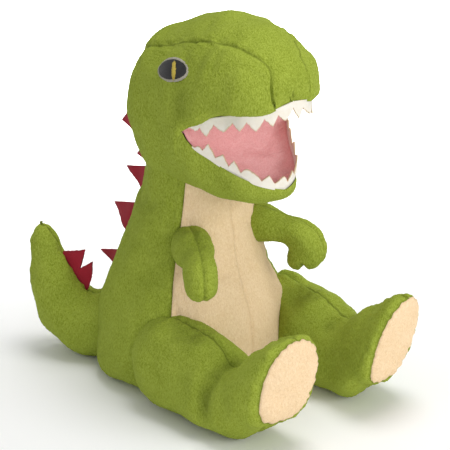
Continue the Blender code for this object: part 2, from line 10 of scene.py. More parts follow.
import bmesh
import bpy
import numpy as np
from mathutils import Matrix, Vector

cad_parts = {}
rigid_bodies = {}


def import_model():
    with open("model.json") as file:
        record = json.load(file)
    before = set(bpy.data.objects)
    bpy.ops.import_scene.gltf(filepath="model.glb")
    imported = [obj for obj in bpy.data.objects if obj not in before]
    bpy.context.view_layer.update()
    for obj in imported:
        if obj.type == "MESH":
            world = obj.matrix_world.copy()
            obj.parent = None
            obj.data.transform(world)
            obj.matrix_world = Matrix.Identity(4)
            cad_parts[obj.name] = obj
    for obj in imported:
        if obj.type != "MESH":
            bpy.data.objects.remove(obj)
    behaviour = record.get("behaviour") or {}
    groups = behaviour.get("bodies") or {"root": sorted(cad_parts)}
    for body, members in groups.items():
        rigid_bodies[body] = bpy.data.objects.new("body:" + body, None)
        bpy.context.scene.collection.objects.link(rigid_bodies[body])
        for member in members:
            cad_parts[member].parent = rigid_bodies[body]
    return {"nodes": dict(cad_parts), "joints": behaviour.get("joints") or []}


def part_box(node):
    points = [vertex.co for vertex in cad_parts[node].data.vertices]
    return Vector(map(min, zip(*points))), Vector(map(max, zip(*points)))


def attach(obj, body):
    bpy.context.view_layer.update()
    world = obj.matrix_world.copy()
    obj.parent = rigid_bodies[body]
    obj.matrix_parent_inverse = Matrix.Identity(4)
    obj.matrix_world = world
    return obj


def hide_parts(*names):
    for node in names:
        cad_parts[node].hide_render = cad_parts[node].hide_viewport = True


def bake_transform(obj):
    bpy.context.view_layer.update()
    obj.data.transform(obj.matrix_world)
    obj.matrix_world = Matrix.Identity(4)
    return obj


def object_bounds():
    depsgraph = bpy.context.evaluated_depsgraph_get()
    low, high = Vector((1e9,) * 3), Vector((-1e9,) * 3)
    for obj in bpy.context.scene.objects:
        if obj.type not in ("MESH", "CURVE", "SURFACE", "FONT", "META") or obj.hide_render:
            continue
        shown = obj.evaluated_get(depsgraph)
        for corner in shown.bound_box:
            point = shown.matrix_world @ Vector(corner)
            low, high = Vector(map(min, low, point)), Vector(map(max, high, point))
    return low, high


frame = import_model()
cad_low, cad_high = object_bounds()
print("solids in the frame:", len(frame["nodes"]))

# %% [markdown]
# ## Sizes
# Sizes are read from the frame's solids, so that the dressed toy is as large as the plain one.
# Lengths are in metres. The toy looks along -Y, its own right side is at -X, and it sits on
# z = 0.


# %% Read the sizes
def span(*names):
    """Lowest and highest corner of several solids together."""
    boxes = [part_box(name) for name in names]
    return np.min([box[0] for box in boxes], axis=0), np.max([box[1] for box in boxes], axis=0)


MM = 0.001
joints = {joint["name"]: np.array(joint["pos_m"], float) for joint in frame["joints"]}
body_low, body_high = span("body_side_left", "body_side_right", "belly_left", "belly_right")
head_low, head_high = span("head_side_left", "head_side_right", "head_top_gusset")
HEAD_TOP = head_high[2]
HEAD_BACK = head_high[1]
HEAD_LENGTH = head_high[1] - head_low[1]
HEAD_HALF = (head_high[0] - head_low[0]) / 2
BODY_HEIGHT = body_high[2] / 0.92
BODY_HALF = (body_high[0] - body_low[0]) / 2
CORNER = -0.060  # where the mouth's corners are, along Y
SIDES = {"right": -1, "left": 1}
print("head", np.round((head_high - head_low) / MM), "mm; body height", round(BODY_HEIGHT / MM), "mm")

# %% [markdown]
# ## Forms made of rings
# A stuffed form is a tube. Each station gives a ring: its centre, half width, rise above the
# centre and fall below it. A smooth curve joins the stations, so that one function of two
# parameters, the place along the tube and the angle round it, gives any point of the form.


# %% The ring form
class Form:
    """Point(u, angle) = centre(u) + across * half(u) * sin(angle)^b + up * rise(u) * cos(angle)^b.

    b is 2 / power, so 2 gives an ellipse and more gives a squarer ring. Below the middle, fall
    and low_power take the place of rise and power. yaw turns a ring about Z, and lean tips its
    top forwards. The rounded ends close on a quarter circle, and blunt keeps a ring's height
    for longer at the far end.
    """

    def __init__(self, stations, up=(0, 0, 1), power=2.0, low_power=None, start_round=0, end_round=0, blunt=2.0):
        table = np.array([[s[0], *s[1], *s[2:]] for s in stations], float)
        self.along, self.values = table[:, 0], table[:, 1:]
        self.up = np.array(up, float)
        self.power, self.low_power = power, low_power or power
        self.start_round, self.end_round, self.blunt = start_round, end_round, blunt
        pitch = np.diff(self.values, axis=0) / np.diff(self.along)[:, None]
        before, after = pitch[:-1], pitch[1:]
        even = np.where(before * after > 0, 2 * before * after / np.where(before + after, before + after, 1), 0)
        self.slopes = np.vstack([pitch[:1], even, pitch[-1:]])
        self.puff = None

    def at(self, u):
        """The stations' values at u: a cubic between neighbours that never overshoots them."""
        u = np.clip(u, self.along[0], self.along[-1])
        i = np.clip(np.searchsorted(self.along, u, side="right") - 1, 0, len(self.along) - 2)
        width = (self.along[i + 1] - self.along[i])[..., None]
        t = (u - self.along[i])[..., None] / width
        a, b = self.values[i], self.values[i + 1]
        slope_a, slope_b = self.slopes[i] * width, self.slopes[i + 1] * width
        bow = (t**3 - 2 * t**2 + t) * slope_a + (t**3 - t**2) * slope_b
        return a + (b - a) * (3 * t**2 - 2 * t**3) + bow

    def closing(self, u, blunt=2.0):
        """1 along the tube, falling to 0 at a rounded end: (1 - s^blunt)^(1 / blunt)."""
        factor = np.ones_like(u)
        if self.start_round:
            factor *= np.sqrt(np.clip(1 - np.clip(1 - u / self.start_round, 0, 1) ** 2, 0, 1))
        if self.end_round:
            s = np.clip(1 - (1 - u) / self.end_round, 0, 1)
            factor *= np.clip(1 - s**blunt, 0, 1) ** (1 / blunt)
        return factor

    def powers(self, u):
        """The two powers at u: each is a number, or (places, values) to run between."""
        both = (self.power, self.low_power)
        return [np.interp(u, *one) if isinstance(one, tuple) else np.full_like(u, one) for one in both]

    def point(self, u, angle):
        """Points of the form, with what the cloth simulation added to it."""
        u, angle = np.broadcast_arrays(np.asarray(u, float), np.asarray(angle, float))
        x, y, z, half, rise, fall, yaw, lean = np.moveaxis(self.at(u), -1, 0)
        sine, cosine = np.sin(angle), np.cos(angle)
        high, low = self.powers(u)
        bend = 2 / np.where(cosine > 0, high, low)
        side = np.sign(sine) * np.abs(sine) ** bend * half * self.closing(u)
        reach = np.where(cosine > 0, rise, fall) * self.closing(u, self.blunt)
        height = np.sign(cosine) * np.abs(cosine) ** bend * reach
        flat = np.zeros_like(yaw)
        across = np.stack([np.cos(yaw), np.sin(yaw), flat], -1)
        onward = np.cross(across, self.up)
        up = self.up * np.cos(lean)[..., None] + onward * np.sin(lean)[..., None]
        found = np.stack([x, y, z], -1) + across * side[..., None] + up * height[..., None]
        return found if self.puff is None else found + self.swell(u, angle)

    def normal(self, u, angle):
        """Unit vectors square to the form, pointing out: the cross product of its two slopes."""
        u, angle = np.broadcast_arrays(np.asarray(u, float), np.asarray(angle, float))
        along = self.point(np.minimum(u + 0.004, 1), angle) - self.point(np.maximum(u - 0.004, 0), angle)
        around = self.point(u, angle + 0.03) - self.point(u, angle - 0.03)
        out = np.cross(along, around)
        out /= np.maximum(np.linalg.norm(out, axis=-1, keepdims=True), 1e-12)
        away = self.point(u, angle) - self.at(u)[..., :3]
        return out * np.where((out * away).sum(-1, keepdims=True) < 0, -1, 1)

    def swell(self, u, angle):
        """The simulated shift at (u, angle): cubic weights over the four nearest rows and columns."""
        ups, shift = self.puff
        rows, columns = shift.shape[:2]
        row = np.interp(u, ups, np.arange(rows))
        column = (angle / (2 * math.pi) * columns) % columns
        total = np.zeros((*u.shape, 3))
        for i, row_share in cubic_shares(row):
            for j, column_share in cubic_shares(column):
                total += shift[np.clip(i, 0, rows - 1), j % columns] * (row_share * column_share)[..., None]
        return total


def cubic_shares(place):
    """The four whole numbers round each place, with the weights of a smooth B-spline."""
    base = np.floor(place).astype(int)
    t = place - base
    shares = ((1 - t) ** 3, 3 * t**3 - 6 * t**2 + 4, -3 * t**3 + 3 * t**2 + 3 * t + 1, t**3)
    return [(base - 1 + k, share / 6) for k, share in enumerate(shares)]


def steps(*marks):
    """Even steps through (place, count) marks: steps(0, (0.2, 10), (1, 40))."""
    found = [np.array([marks[0]], float)]
    for place, count in marks[1:]:
        found.append(np.linspace(found[-1][-1], place, count + 1)[1:])
    return np.concatenate(found)


def rounded_steps(start_round, end_round, rows):
    """Places along a tube, crowded into its rounded ends so that the domes stay smooth."""
    t = np.linspace(0, 1, rows)
    places = t.copy()
    if start_round:
        places = np.where(t < start_round * 2, start_round * (1 - np.cos(np.pi / 2 * t / (2 * start_round))), places)
        late = t >= start_round * 2
        places[late] = start_round + (t[late] - 2 * start_round) / (1 - 2 * start_round) * (1 - start_round)
    if end_round:
        edge = 1 - end_round * 2
        early = places < 1 - end_round
        s = (places - (1 - end_round)) / end_round
        places = np.where(early, places, 1 - end_round + end_round * np.sin(np.pi / 2 * np.clip(s, 0, 1)))
    return places


# %% [markdown]
# ## Soft random shapes
# Cloth is never quite even. A sum of plane sine waves in random directions gives lumps of a
# chosen size anywhere in space, the same on both sides of a seam and the same on every run.


# %% Lumps, folds and meshes
def lumps(points, size, seed, count=22):
    """Sum of sine waves: each point's share is sin(way . point + shift), waves about size long."""
    pick = np.random.default_rng(seed)
    ways = pick.normal(size=(count, 3))
    ways *= 2 * math.pi / (size * pick.uniform(0.7, 1.4, (count, 1)) * np.linalg.norm(ways, axis=1)[:, None])
    shifts = pick.uniform(0, 2 * math.pi, count)
    total = np.zeros(points.shape[:-1])
    for way, shift in zip(ways, shifts):
        total += np.sin(points @ way + shift)
    return total * math.sqrt(2 / count)


def fold(points, start, end, width):
    """A crease: 1 on the line from start to end, falling as a bell curve with distance."""
    start, end = np.array(start, float), np.array(end, float)
    way = end - start
    t = np.clip((points - start) @ way / (way @ way), 0, 1)
    gap = np.linalg.norm(points - (start + t[..., None] * way), axis=-1)
    fade = np.sin(np.pi * np.clip(0.15 + 0.7 * t, 0, 1))
    return fade * (np.exp(-((gap / width) ** 2)) - 0.45 * np.exp(-(((gap - 2.1 * width) / width) ** 2)))


def sheet_mesh(name, points, normals, marks=None, ring=False):
    """A mesh from a grid of points: neighbours in rows and columns make four-sided faces."""
    rows, columns = points.shape[:2]
    index = np.arange(rows * columns).reshape(rows, columns)
    if ring:
        index = np.concatenate([index, index[:, :1]], axis=1)
    faces = np.stack([index[:-1, :-1], index[:-1, 1:], index[1:, 1:], index[1:, :-1]], -1).reshape(-1, 4)
    flat = points.reshape(-1, 3)
    turn = np.cross(flat[faces[:, 2]] - flat[faces[:, 0]], flat[faces[:, 3]] - flat[faces[:, 1]])
    if (turn * normals.reshape(-1, 3)[faces[:, 0]]).sum() < 0:
        faces = faces[:, ::-1]
    mesh = bpy.data.meshes.new(name)
    mesh.from_pydata(flat.tolist(), [], faces.tolist())
    for mark, values in (marks or {}).items():
        layer = mesh.attributes.new(mark, "FLOAT", "POINT")
        layer.data.foreach_set("value", np.asarray(values, np.float32).ravel())
    build = bmesh.new()
    build.from_mesh(mesh)
    bmesh.ops.remove_doubles(build, verts=build.verts, dist=0.00001)
    build.to_mesh(mesh)
    build.free()
    mesh.shade_smooth()
    thing = bpy.data.objects.new(name, mesh)
    bpy.context.scene.collection.objects.link(thing)
    return thing


# %% [markdown]
# ## Stuffing by simulation
# Polyester fibre pushes the cloth out between its seams. Each form is laid out as a coarse
# closed mesh with its seams held, and Blender's Cloth blows it up with a little spare cloth,
# so that it puffs and puckers. The shift of each point is capped and kept with the form, and
# the fine panels pick it up from there.


# %% Blow up a form
def stuff(form, seams, rows, columns, most, spare=0.03):
    """Cloth with pressure on a rows x columns copy of the form. seams are the angles held."""
    ups = rounded_steps(form.start_round, form.end_round, rows)
    ups[0], ups[-1] = ups[1] * 0.35, 1 - (1 - ups[-2]) * 0.35
    angles = np.arange(columns) * 2 * math.pi / columns
    rest = form.point(ups[:, None], angles[None, :])
    balloon = sheet_mesh("balloon", rest, form.normal(ups[:, None], angles[None, :]), ring=True)
    build = bmesh.new()
    build.from_mesh(balloon.data)
    bmesh.ops.holes_fill(build, edges=build.edges, sides=0)
    build.to_mesh(balloon.data)
    build.free()
    held = balloon.vertex_groups.new(name="held")
    columns_held = sorted({round(seam / (2 * math.pi) * columns) % columns for seam in seams})
    grid = np.arange(rows * columns).reshape(rows, columns)
    ends = np.concatenate([grid[0], grid[-1], grid[:, columns_held].ravel()])
    held.add(sorted(set(ends.tolist())), 1.0, "REPLACE")
    cloth = balloon.modifiers.new("stuffing", "CLOTH")
    cloth.settings.quality = 4
    cloth.settings.mass = 0.2
    cloth.settings.tension_stiffness = 12
    cloth.settings.compression_stiffness = 8
    cloth.settings.shear_stiffness = 6
    cloth.settings.bending_stiffness = 0.3
    cloth.settings.vertex_group_mass = "held"
    cloth.settings.shrink_min = -spare
    cloth.settings.use_pressure = True
    cloth.settings.uniform_pressure_force = 4
    cloth.settings.effector_weights.gravity = 0
    cloth.point_cache.frame_start, cloth.point_cache.frame_end = 1, 20
    for number in range(1, 21):
        bpy.context.scene.frame_set(number)
    blown = balloon.evaluated_get(bpy.context.evaluated_depsgraph_get()).data
    found = np.empty(len(blown.vertices) * 3, np.float32)
    blown.vertices.foreach_get("co", found)
    moved = found.reshape(rows, columns, 3) - rest
    size = np.linalg.norm(moved, axis=-1, keepdims=True)
    moved *= most * np.tanh(size / most) / np.maximum(size, 1e-9)
    form.puff = (ups, moved)
    print(f"stuffed: moved up to {size.max() / MM:.1f} mm, kept {most / MM:.1f} mm at most")
    bpy.context.scene.frame_set(1)
    mesh = balloon.data
    bpy.data.objects.remove(balloon)
    bpy.data.meshes.remove(mesh)


# %% [markdown]
# ## A sewn panel
# One panel of plush runs between two seams. Along a seam the cloth dives in, the stitches
# gather it into small puckers, and the pile there lies in shadow, which is also painted into its
# colour as a darker shade. The pile itself stands half a millimetre proud, which shows as a soft edge.

# %% Sew a panel
SEAM_DEPTH, SEAM_WIDTH = 1.9 * MM, 2.6 * MM


def uneven(points):
    """How far stuffed cloth stands off its form: soft lumps about 34 mm long."""
    return 0.8 * MM * lumps(points, 34 * MM, 1)


def skin(form, ups, low, high, count, sewn=(True, True), folds=(), depth=1.0, shape=None, ends=()):
    """Rows at ups, columns at even angles from low(u) to high(u), with seams at those edges.

    Point = form + normal * (lumps + pile - seam dip * puckers - folds).
    """
    u = ups[:, None]
    t = np.linspace(0, 1, count)[None, :]
    t = t - 0.35 * np.sin(2 * math.pi * t) / (2 * math.pi)  # finer beside the seams
    angle = low(u) + (high(u) - low(u)) * t
    u = np.broadcast_to(u, angle.shape)
    points, normals = form.point(u, angle), form.normal(u, angle)
    stretch = np.linalg.norm(np.diff(points, axis=1), axis=-1)
    reach = np.concatenate([np.zeros((len(ups), 1)), np.cumsum(stretch, axis=1)], axis=1)
    near, far = reach, reach[:, -1:] - reach
    gap = np.minimum(near if sewn[0] else near + 1, far if sewn[1] else far + 1)
    for place in ends:
        gap = np.minimum(gap, np.linalg.norm(form.point(place, angle) - points, axis=-1))
    dip = np.exp(-((gap / SEAM_WIDTH) ** 2))
    puckers = 0.55 * lumps(points, 9 * MM, 5) * np.exp(-((gap / (4 * SEAM_WIDTH)) ** 2))
    height = uneven(points) * (1 - dip)
    height += 0.10 * MM * lumps(points, 2.6 * MM, 3, 26)
    height -= depth * SEAM_DEPTH * dip * (1 + 0.25 * lumps(points, 7 * MM, 4)) - depth * 0.9 * MM * puckers * (1 - dip)
    # crease is a painted shade for the folds, strongest in each fold's hollow.
    crease = np.zeros(points.shape[:-1])
    for start, end, width, deep in folds:
        here = fold(points, start, end, width)
        height -= deep * here
        crease = np.maximum(crease, np.clip(here, 0, 1) * min(deep / (3 * MM), 1) * 0.5)
    points = points + normals * height[..., None]
    if shape:
        points = shape(points)
    points[..., 2] = np.maximum(points[..., 2], 0)  # the table flattens what rests on it
    # Painted shade: darkest on the seam line and in the fold creases. The plush colour mixes towards its shade colour
    # there.
    painted_shade = np.maximum(0.55 * depth * np.exp(-((gap / (1.0 * MM)) ** 2)), crease)
    return points, normals, painted_shade


def panel(name, *sizes, first_row=None, **options):
    """A panel's mesh. first_row is the row of another panel that this one is sewn on to."""
    points, normals, painted_shade = skin(*sizes, **options)
    if first_row is not None:
        ease = np.clip(1 - np.arange(len(points)) / 12, 0, 1)[:, None, None] ** 2
        points = points + (first_row - points[0]) * ease
    return sheet_mesh(name, points, normals, {"painted_shade": painted_shade})


def flat(value):
    """A seam at the same angle all the way along."""
    return lambda u: np.full_like(u, value)

# %% [markdown]
# ## Finishes
# Short-pile plush scatters light from thousands of fibre tips: it has no gloss, a soft pale
# sheen where it turns away, and a mottle where the pile lies in different directions. Felt is
# matted wool, flat and fibrous. Embroidery is satin stitch: rows of glossy thread.


# %% Colours and nodes
def paint(code):
    """An sRGB hex colour as linear red, green, blue and 1."""
    parts = [int(code[i : i + 2], 16) / 255 for i in (1, 3, 5)]
    return (*[p / 12.92 if p <= 0.04045 else ((p + 0.055) / 1.055) ** 2.4 for p in parts], 1)


def add_node(tree, kind, settings=None, **links):
    """A node with its settings, and its inputs set to values or linked to other nodes' outputs."""
    node = tree.nodes.new(kind)
    for name, value in (settings or {}).items():
        setattr(node, name, value)
    for name, value in links.items():
        socket = node.inputs[int(name[1:])] if name[0] == "i" and name[1:].isdigit() else node.inputs[name.replace("_", " ")]
        if isinstance(value, bpy.types.NodeSocket):
            tree.links.new(value, socket)
        else:
            socket.default_value = value
    return node


def start_material(name):
    made = bpy.data.materials.new(name)
    made.use_nodes = True
    made.node_tree.nodes.clear()
    return made, made.node_tree


def finish_material(tree, shader):
    add_node(tree, "ShaderNodeOutputMaterial", Surface=shader.outputs[0])


def plush(name, main, deep, tip, bump=0.55):
    """Minky plush: fibres about a millimetre long, brushed downwards, over a knitted back.

    Colour = main, towards tip where the pile stands, and towards deep, a painted shade, along seams and in creases.
    """
    made, tree = start_material(name)
    place = add_node(tree, "ShaderNodeTexCoord").outputs["Object"]
    brushed = add_node(tree, "ShaderNodeMapping", Vector=place, Scale=(1, 1, 0.5)).outputs[0]
    fibre = add_node(tree, "ShaderNodeTexNoise", Vector=brushed, Scale=1300, Detail=2, Roughness=0.6)
    clump = add_node(tree, "ShaderNodeTexNoise", Vector=brushed, Scale=800, Detail=2, Roughness=0.6)
    patch = add_node(tree, "ShaderNodeTexNoise", Vector=place, Scale=55, Detail=2, Roughness=0.5)
    grain = add_node(tree, "ShaderNodeMapRange", Value=fibre.outputs[0], i1=0.36, i2=0.64, i3=0.0, i4=0.55)
    stand = add_node(tree, "ShaderNodeMapRange", Value=clump.outputs[0], i1=0.36, i2=0.64, i3=0.0, i4=0.4)
    sway = add_node(tree, "ShaderNodeMapRange", Value=patch.outputs[0], i1=0.3, i2=0.7, i3=0.0, i4=0.15)
    mottle = add_node(tree, "ShaderNodeMath", {"operation": "ADD"}, i0=sway.outputs[0], i1=stand.outputs[0])
    total = add_node(tree, "ShaderNodeMath", {"operation": "ADD"}, i0=mottle.outputs[0], i1=grain.outputs[0])
    lit = add_node(tree, "ShaderNodeMix", {"data_type": "RGBA"}, i0=total.outputs[0], i6=paint(main), i7=paint(tip))
    # Painted shade: the panels' seam and crease attribute mixes the colour towards deep.
    painted_shade = add_node(tree, "ShaderNodeAttribute", {"attribute_name": "painted_shade"})
    shade = add_node(tree, "ShaderNodeMath", {"operation": "MULTIPLY"}, i0=painted_shade.outputs["Fac"], i1=1.0)
    colour = add_node(tree, "ShaderNodeMix", {"data_type": "RGBA"}, i0=shade.outputs[0], i6=lit.outputs[2], i7=paint(deep))
    height = add_node(tree, "ShaderNodeMath", {"operation": "ADD"}, i0=fibre.outputs[0], i1=clump.outputs[0])
    relief = add_node(tree, "ShaderNodeBump", Height=height.outputs[0], Strength=bump, Distance=0.0009)
    shader = add_node(
        tree, "ShaderNodeBsdfPrincipled", Base_Color=colour.outputs[2], Roughness=0.95, Normal=relief.outputs[0]
    )
    shader.inputs["Specular IOR Level"].default_value = 0.15
    shader.inputs["Sheen Weight"].default_value = 0.18
    shader.inputs["Sheen Roughness"].default_value = 0.45
    shader.inputs["Sheen Tint"].default_value = paint(tip)
    finish_material(tree, shader)
    return made


def felt(name, main, edge):
    """Pressed felt: matted fibres half a millimetre across, darker where it was cut."""
    made, tree = start_material(name)
    place = add_node(tree, "ShaderNodeTexCoord").outputs["Object"]
    mat = add_node(tree, "ShaderNodeTexNoise", Vector=place, Scale=900, Detail=4, Roughness=0.7)
    cloud = add_node(tree, "ShaderNodeTexNoise", Vector=place, Scale=180, Detail=2)
    rim = add_node(tree, "ShaderNodeAttribute", {"attribute_name": "rim"})
    uneven = add_node(tree, "ShaderNodeMath", {"operation": "MULTIPLY"}, i0=cloud.outputs[0], i1=0.35)
    share = add_node(
        tree, "ShaderNodeMath", {"operation": "MULTIPLY_ADD", "use_clamp": True}, i0=rim.outputs["Fac"], i1=0.75, i2=uneven.outputs[0]
    )
    colour = add_node(tree, "ShaderNodeMix", {"data_type": "RGBA"}, i0=share.outputs[0], i6=paint(main), i7=paint(edge))
    relief = add_node(tree, "ShaderNodeBump", Height=mat.outputs[0], Strength=0.5, Distance=0.0004)
    shader = add_node(
        tree, "ShaderNodeBsdfPrincipled", Base_Color=colour.outputs[2], Roughness=0.9, Normal=relief.outputs[0]
    )
    shader.inputs["Specular IOR Level"].default_value = 0.2
    shader.inputs["Sheen Weight"].default_value = 0.2
    finish_material(tree, shader)
    return made


def thread(name, main, dark, pitch, gloss):
    """Satin stitch: round rayon threads side by side, striped from main to dark: a painted sheen along each thread and
    a painted shade in the grooves.
    """
    made, tree = start_material(name)
    place = add_node(tree, "ShaderNodeTexCoord").outputs["UV"]
    wander = add_node(tree, "ShaderNodeTexNoise", Vector=place, Scale=180, Detail=2)
    lay = add_node(tree, "ShaderNodeMath", {"operation": "MULTIPLY_ADD"}, i0=wander.outputs[0], i1=0.0012, i2=-0.0006)
    bent = add_node(tree, "ShaderNodeVectorMath", {"operation": "ADD"}, i0=place, i1=lay.outputs[0])
    rows = add_node(
        tree, "ShaderNodeTexWave", {"bands_direction": "Y", "wave_profile": "SIN"}, Vector=bent.outputs[0], Scale=0.314 / pitch
    )
    # Painted sheen and painted groove shade: the wave across the threads mixes dark into main.
    colour = add_node(tree, "ShaderNodeMix", {"data_type": "RGBA"}, i0=rows.outputs[1], i6=paint(dark), i7=paint(main))
    relief = add_node(tree, "ShaderNodeBump", Height=rows.outputs[1], Strength=0.8, Distance=0.0004)
    shader = add_node(
        tree, "ShaderNodeBsdfPrincipled", Base_Color=colour.outputs[2], Roughness=gloss, Normal=relief.outputs[0]
    )
    shader.inputs["Specular IOR Level"].default_value = 0.5
    finish_material(tree, shader)
    return made


# The second colour of each plush is its painted shade for seams and creases.
GREEN = plush("green minky plush", "#76851e", "#434d0d", "#a3b148")
CREAM = plush("cream minky plush", "#e4c497", "#a98b60", "#f6dcb8", 0.45)
PINK = plush("pink minky plush", "#e8a5a4", "#b57675", "#f4c3c1", 0.4)
WHITE_FELT = felt("white felt", "#efece3", "#cdb58a")
RED_FELT = felt("dark red felt", "#ab2236", "#86182a")
# Each thread's first colour is the painted sheen on the crest of a thread, and its second the painted shade in its
# grooves.
BLACK_THREAD = thread("black rayon thread", "#303031", "#0d0d0e", 0.55 * MM, 0.38)
GREY_THREAD = thread("grey rayon thread", "#c9c4b2", "#86806f", 0.6 * MM, 0.5)
YELLOW_THREAD = thread("yellow rayon thread", "#e4cd52", "#a48a2a", 0.5 * MM, 0.45)


def dress(thing, material, slot, *nodes, fill=None):
    """Gives a finished piece its material and hides the solids it stands for."""
    thing.data.materials.clear()
    thing.data.materials.append(material)
    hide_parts(*nodes)
    return thing


# %% [markdown]
# ## The body
# A pear of cloth: flat rings stacked from the seat to the neck. Two cream panels meet in the
# middle of the belly and two green ones in the middle of the back.

# %% Body form and panels
neck_half, neck_deep = 0.044, 0.042
body_deep = (body_high[1] - body_low[1]) / 2
body_stations = []
for share, swell, shift in (
    (0.00, 0.80, 0.004),
    (0.05, 0.94, 0.003),
    (0.10, 0.985, 0.002),
    (0.20, 1.01, -0.002),
    (0.40, 0.88, -0.004),
    (0.60, 0.52, -0.003),
    (0.78, 0.22, -0.006),
    (0.97, 0.00, -0.010),
    (1.25, -0.06, -0.016),
):
    half = BODY_HALF * swell if share < 0.2 else neck_half + (BODY_HALF - neck_half) * swell
    deep = body_deep * swell if share < 0.2 else neck_deep + (body_deep - neck_deep) * swell
    body_stations.append((share, (0, shift, BODY_HEIGHT * share), half, deep, deep, 0, 0))
body = Form(body_stations, up=(0, -1, 0), power=2.1)
BELLY = math.radians(55)


def belly_edge(u):
    """The belly's side seams, wider apart at the seat."""
    return np.interp(u, [0, 0.3, 1], [BELLY * 1.1, BELLY, BELLY])


stuff(body, (0, BELLY, -BELLY, math.pi), 40, 84, 3.0 * MM, 0.02)
body_rows = steps(0, (0.06, 14), (1.25, 185))
body_seams = (flat(-math.pi), lambda u: -belly_edge(u), flat(0), belly_edge, flat(math.pi))
sides = [
    panel("side_of_body_right", body, body_rows, body_seams[0], body_seams[1], 190),
    panel("side_of_body_left", body, body_rows, body_seams[3], body_seams[4], 190),
]
bellies = [
    panel("belly_panel_right", body, body_rows, body_seams[1], body_seams[2], 100, depth=0.4),
    panel("belly_panel_left", body, body_rows, body_seams[2], body_seams[3], 100, depth=0.4),
]
for thing, word in zip(sides, SIDES):
    dress(thing, GREEN, "green_plush", f"body_side_{word}", "body_stuffing", fill=0.85)
for thing, word in zip(bellies, SIDES):
    dress(thing, CREAM, "cream_plush", f"belly_{word}", fill=0.85)
t = np.linspace(0, 1, 14)[:, None]
rim_angles = np.linspace(0, 2 * math.pi, 97)[None, :-1]
seat_points = body.point(np.zeros_like(t), rim_angles) * [1, 1, 0] * t[..., None]
seat = sheet_mesh("seat_of_plush", seat_points, np.zeros_like(seat_points) - [0, 0, 1.0], {"painted_shade": np.zeros((14, 96))}, ring=True)
dress(seat, GREEN, "green_plush", "seat_panel")
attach(seat, "torso")
for thing in (*sides, *bellies):
    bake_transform(thing)
print("body:", len(sides + bellies), "panels")

# %% [markdown]
# ## The head
# Upright rings from the back of the head to the tip of the snout. A wide gusset over the crown
# runs forward and down, and makes the whole front of the snout. Behind the mouth's corners the
# rings reach down to the neck, and in front of them they stop at the upper lip.

# %% Head form
NECK_Z = BODY_HEIGHT + 0.004
SNOUT_END = 0.987  # where the gusset meets the lip, as a share of the head's length
CHEEK = (HEAD_BACK - CORNER - 0.012) / HEAD_LENGTH
middle = NECK_Z + 0.48 * (HEAD_TOP - NECK_Z)


def lip_fall(centre, lip_height, angle):
    """How far a ring must fall for its point at the lip's angle to be at the lip's height."""
    return (centre - lip_height) / abs(math.cos(math.radians(angle))) ** (2 / 3.2)


def head_ring(share, width, centre, top, fall):
    return (share, (0, HEAD_BACK - HEAD_LENGTH * share, centre), HEAD_HALF * width, top - centre, fall, 0, 0)


head = Form(
    [
        head_ring(0.00, 0.87, middle - 0.002, HEAD_TOP - 0.025, middle - 0.002 - NECK_Z - 0.008),
        head_ring(0.22, 0.955, middle - 0.002, HEAD_TOP - 0.012, middle - 0.002 - NECK_Z + 0.005),
        head_ring(CHEEK, 0.98, middle, HEAD_TOP + 0.004, middle - NECK_Z),
        head_ring(CHEEK + 0.045, 0.96, middle + 0.007, HEAD_TOP + 0.005, lip_fall(middle + 0.007, 0.2350, 110)),
        head_ring(CHEEK + 0.13, 0.93, middle + 0.013, HEAD_TOP + 0.0045, lip_fall(middle + 0.013, 0.2440, 125)),
        head_ring(0.79, 0.835, middle + 0.020, HEAD_TOP - 0.0005, lip_fall(middle + 0.020, 0.2525, 135)),
        head_ring(1.00, 0.745, 0.2655, HEAD_TOP - 0.019, lip_fall(0.2655, 0.2620, 135)),
    ],
    power=2.3,
    low_power=([0.0, CHEEK - 0.1, CHEEK, CHEEK + 0.13], [2.0, 2.3, 2.5, 3.2]),
    start_round=0.22,
    end_round=0.15,
    blunt=3.4,
)


def gusset_edge(u):
    """The gusset's seam, as an angle from the top of each ring.

    Angle = 39 degrees, less 14 with the fourth power of u up to the snout's bend. From there it
    swings down to the lip at 135 degrees, slowly at first and steeply at the very tip.
    """
    crown, narrowed, lip, bend = 39, 14, 135, 0.89
    onward = np.clip((u - bend) / (SNOUT_END - bend), 0, 1)
    swing = 1 - np.sqrt(1 - onward**6)
    angle = crown - narrowed * np.clip(u / bend, 0, 1) ** 4
    return np.radians(angle + (lip - crown + narrowed) * swing)


def lip_edge(u):
    """The upper lip: half way round the ring behind the mouth, under its corner in front."""
    marks = [CHEEK, CHEEK + 0.045, CHEEK + 0.12, 0.78]
    return np.radians(np.interp(u, marks, [91.5, 112, 125, 135]))


stuff(head, (math.radians(45), math.radians(-45), math.pi), 40, 72, 2.5 * MM, 0.02)

